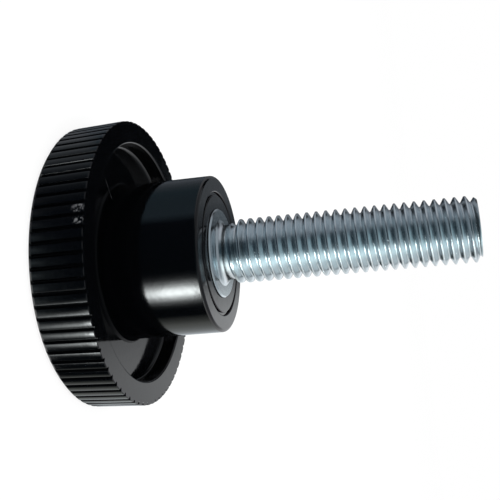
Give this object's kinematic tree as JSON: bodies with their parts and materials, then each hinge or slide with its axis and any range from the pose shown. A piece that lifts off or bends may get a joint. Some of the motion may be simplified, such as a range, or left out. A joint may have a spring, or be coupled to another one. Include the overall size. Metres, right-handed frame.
{
  "type": "knurled knob",
  "caption": "Round hand knob with a straight-knurled plastic head, a raised centre boss and a long threaded steel stud moulded into it, for tightening by hand.",
  "frame": {"origin": "centre of the flat back face of the head, on which the knob stands", "axes": "+Z along the axis of the stud, from the back face towards the tip; the knurl and the boss are centred on it"},
  "size_m": [0.045, 0.045, 0.061],
  "materials": {
    "black_plastic": "gloss",
    "plated_steel": "bright zinc plating"
  },
  "bodies": {
    "root": {"knob_body": "black_plastic", "threaded_stud": "plated_steel"}
  },
  "joints": []
}
